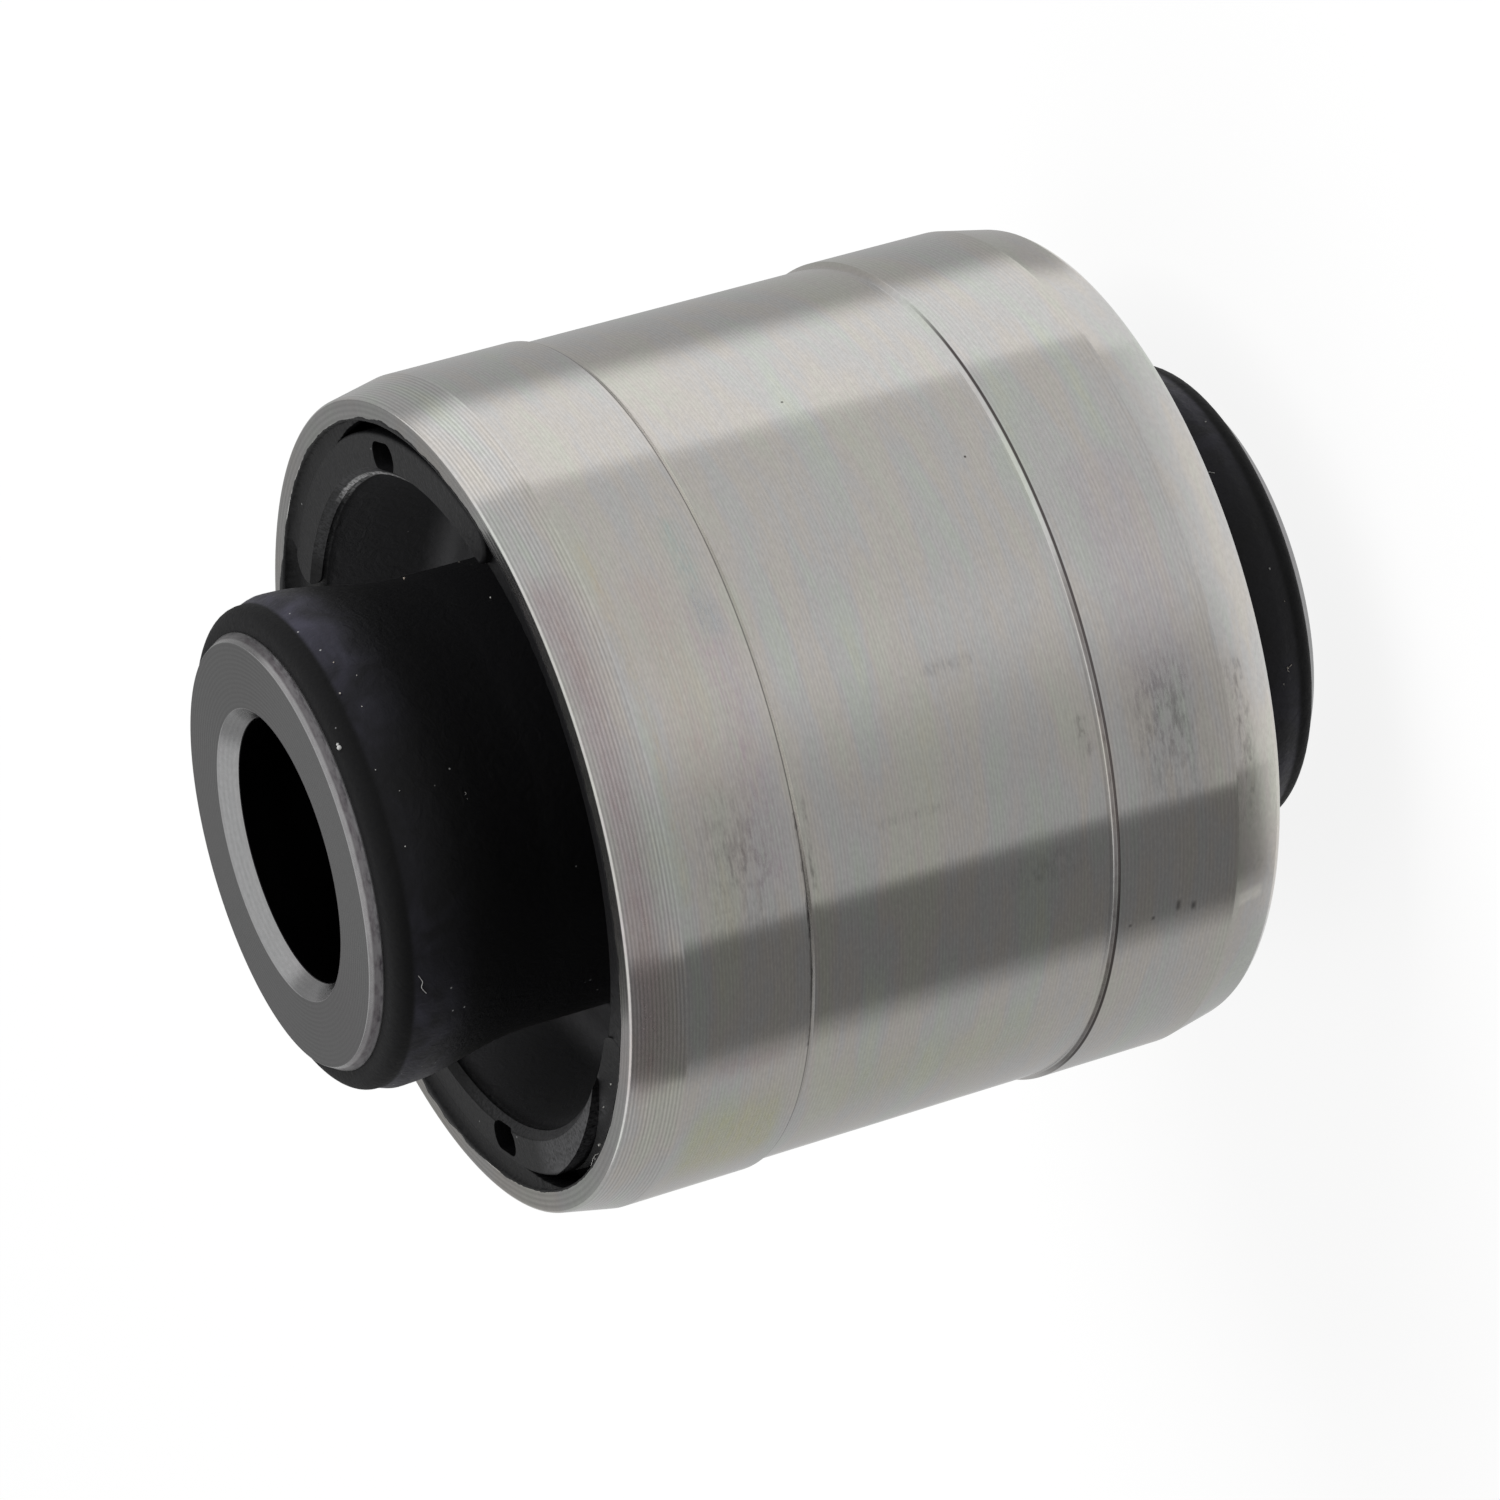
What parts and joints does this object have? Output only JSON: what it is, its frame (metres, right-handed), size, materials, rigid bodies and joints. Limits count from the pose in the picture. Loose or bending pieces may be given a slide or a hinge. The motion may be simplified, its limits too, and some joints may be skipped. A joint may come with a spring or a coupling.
{
  "type": "rubber metal bush",
  "caption": "Bonded rubber and steel suspension bush: a stepped steel outer sleeve, a thick inner sleeve with a bolt bore, and a moulded rubber insert with collars and cupped ends.",
  "frame": {"origin": "centre of the inner sleeve's lower end face, which the bush stands on", "axes": "+Z along the bush's axis, towards the end with the two pockets in the rubber; +X through the middle of one pair of rubber pads, to within five degrees"},
  "size_m": [0.045, 0.045, 0.055],
  "materials": {
    "plated_steel": "turned and zinc plated, satin",
    "dark_steel": "turned and phosphated, satin",
    "moulded_rubber": "moulded, matt with a slight sheen"
  },
  "bodies": {
    "root": {"outer_sleeve": "plated_steel", "inner_sleeve": "dark_steel", "rubber_insert": "moulded_rubber"}
  },
  "joints": []
}
